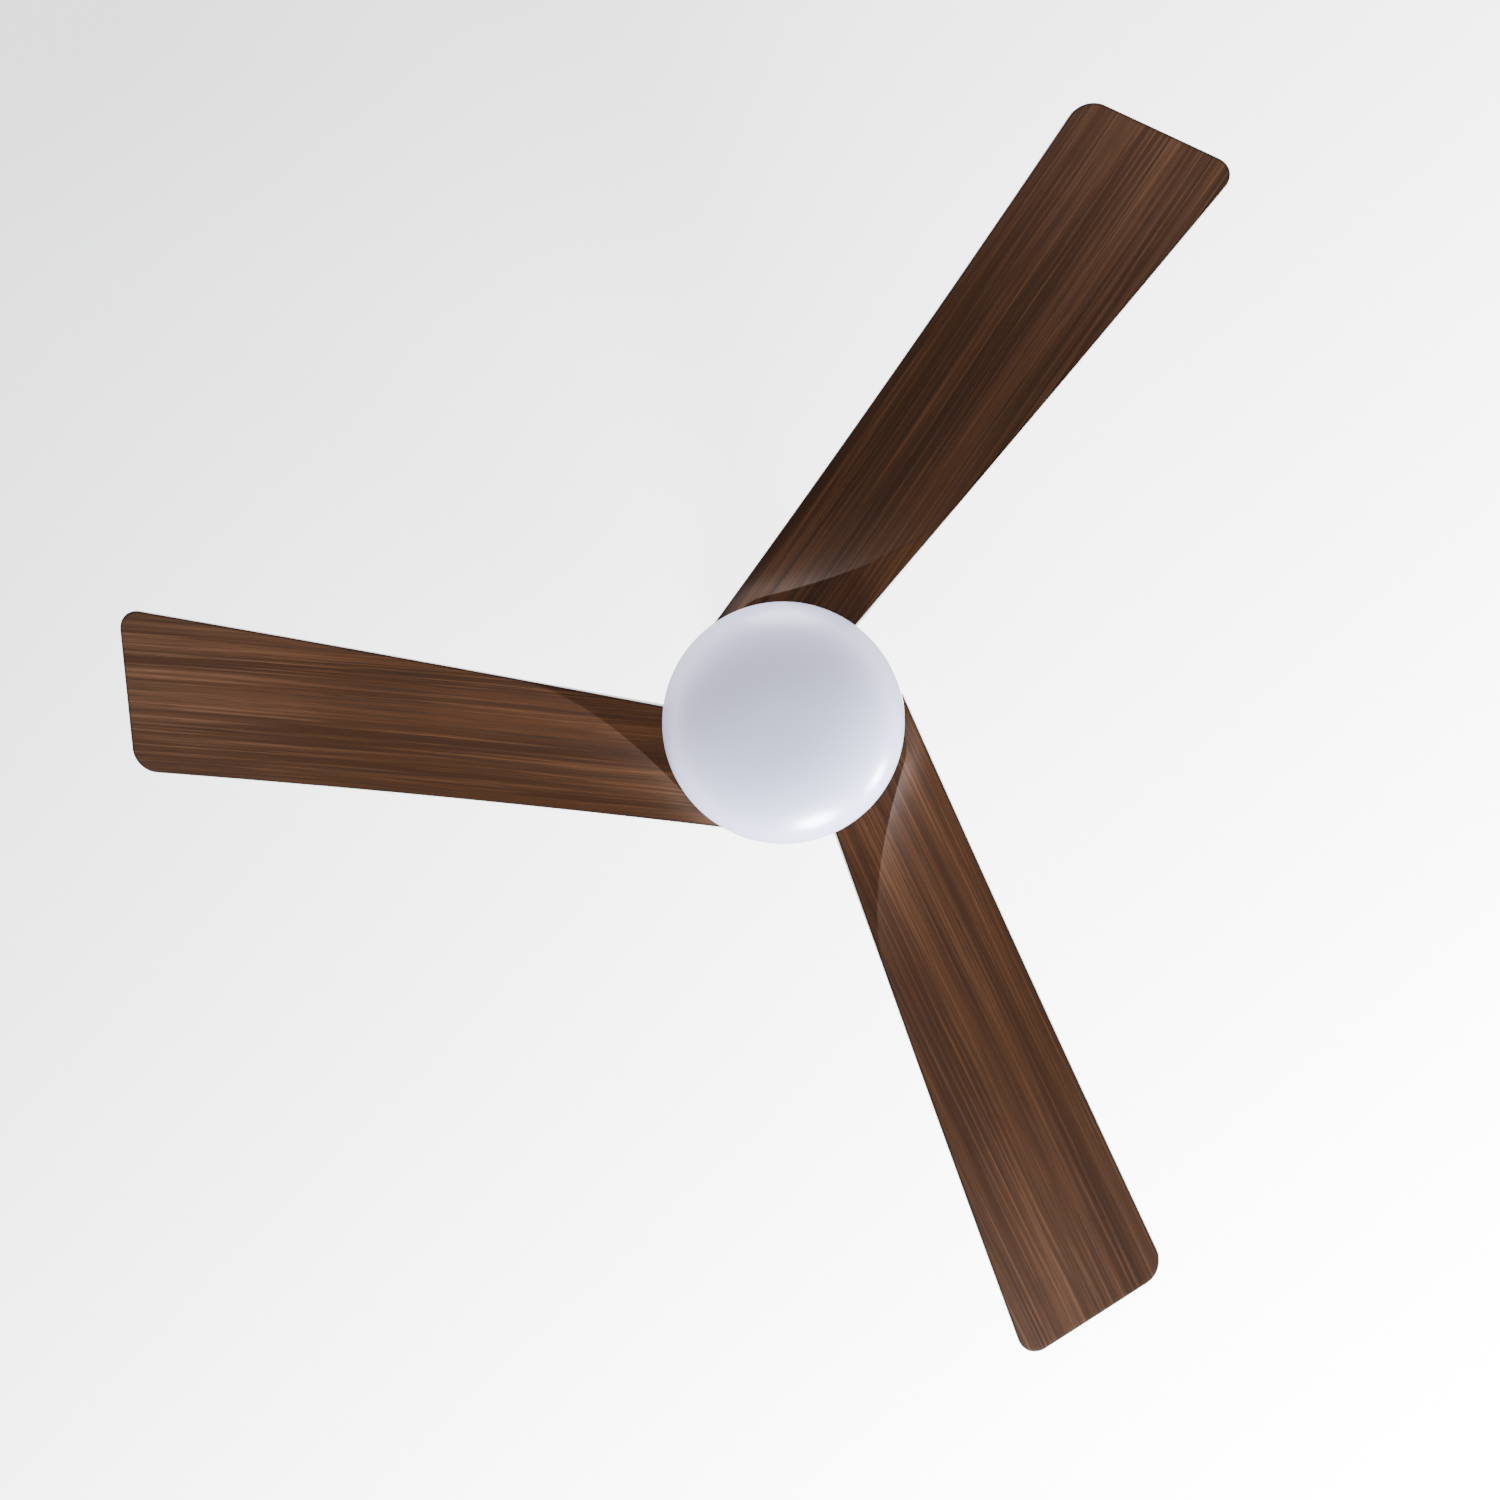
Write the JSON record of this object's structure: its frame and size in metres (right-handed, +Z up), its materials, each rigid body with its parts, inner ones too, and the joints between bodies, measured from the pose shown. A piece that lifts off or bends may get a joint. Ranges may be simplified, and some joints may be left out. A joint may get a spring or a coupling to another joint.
{
  "type": "ceiling fan with light",
  "caption": "Ceiling fan with twisted walnut-faced blades, a white motor housing and downrod, and a round opal dome light underneath.",
  "frame": {"origin": "centre of the ceiling bracket's top face, where it meets the ceiling", "axes": "+Z up, out of the bracket into the ceiling; the fan hangs along -Z"},
  "size_m": [1.0593, 1.1842, 0.376],
  "materials": {
    "white": "satin white paint",
    "walnut": "satin walnut veneer with white painted tops and edges",
    "opal": "semi-gloss opal",
    "steel": "zinc plated",
    "dark_steel": "dark satin",
    "black": "matt",
    "copper": "enamelled copper wire",
    "core": "varnished laminations",
    "board": "white solder mask on aluminium",
    "nylon": "natural nylon",
    "zinc": "zinc plated",
    "wire": "PVC sleeve"
  },
  "bodies": {
    "ceiling_mount": {"ceiling_bracket": "zinc", "box_screw_1": "steel", "box_screw_2": "steel", "canopy": "white", "canopy_screw_1": "white", "canopy_screw_2": "white", "receiver_box": "black", "terminal_block": "nylon", "supply_lead": "wire"},
    "ball_liner": {"seat_liner": "nylon"},
    "hanging_body": {"hanger_ball": "black", "cross_pin": "steel", "ball_set_screw": "steel", "downrod": "white", "motor_yoke": "zinc", "clevis_pin": "steel", "pin_clip": "steel", "yoke_set_screw_1": "steel", "yoke_set_screw_2": "steel", "motor_housing": "white", "motor_shaft": "steel", "shaft_spacer": "zinc", "stator_core": "core", "winding_upper": "copper", "winding_lower": "copper", "light_plate": "zinc", "light_pan": "white", "pan_screw_1": "steel", "pan_screw_2": "steel", "pan_screw_3": "steel", "shaft_nut": "zinc", "led_board": "board", "led_driver": "nylon", "wire_harness": "wire"},
    "cover_body": {"coupling_cover": "white"},
    "rotor": {"rotor_upper_shell": "steel", "rotor_lower_shell": "steel", "magnet_ring": "dark_steel", "bearing_upper": "steel", "bearing_lower": "steel", "hub_plate": "dark_steel", "hub_screw_1": "steel", "hub_screw_2": "steel", "hub_screw_3": "steel", "blade_1": "walnut", "blade_2": "walnut", "blade_3": "walnut", "blade_retainer_1": "dark_steel", "blade_retainer_2": "dark_steel", "blade_retainer_3": "dark_steel", "blade_screw_1a": "steel", "blade_screw_1b": "steel", "blade_screw_1c": "steel", "blade_screw_2a": "steel", "blade_screw_2b": "steel", "blade_screw_2c": "steel", "blade_screw_3a": "steel", "blade_screw_3b": "steel", "blade_screw_3c": "steel"},
    "diffuser": {"diffuser_dome": "opal"}
  },
  "joints": [
    {"name": "swing_x", "type": "hinge", "parent": "ceiling_mount", "child": "ball_liner", "pos_m": [0, 0, -0.036], "axis": [1, 0, 0], "range_deg": [-12, 12]},
    {"name": "swing_y", "type": "hinge", "parent": "ball_liner", "child": "hanging_body", "pos_m": [0, 0, -0.036], "axis": [0, 1, 0], "range_deg": [-12, 12]},
    {"name": "rotor_spin", "type": "hinge", "parent": "hanging_body", "child": "rotor", "pos_m": [0, 0, -0.262], "axis": [0, 0, 1], "continuous": true},
    {"name": "cover_lift", "type": "slide", "parent": "hanging_body", "child": "cover_body", "axis": [0, 0, 1], "range_m": [0, 0.07]},
    {"name": "diffuser_twist", "type": "hinge", "parent": "hanging_body", "child": "diffuser", "pos_m": [0, 0, -0.296], "axis": [0, 0, 1], "range_deg": [-30, 0]}
  ]
}
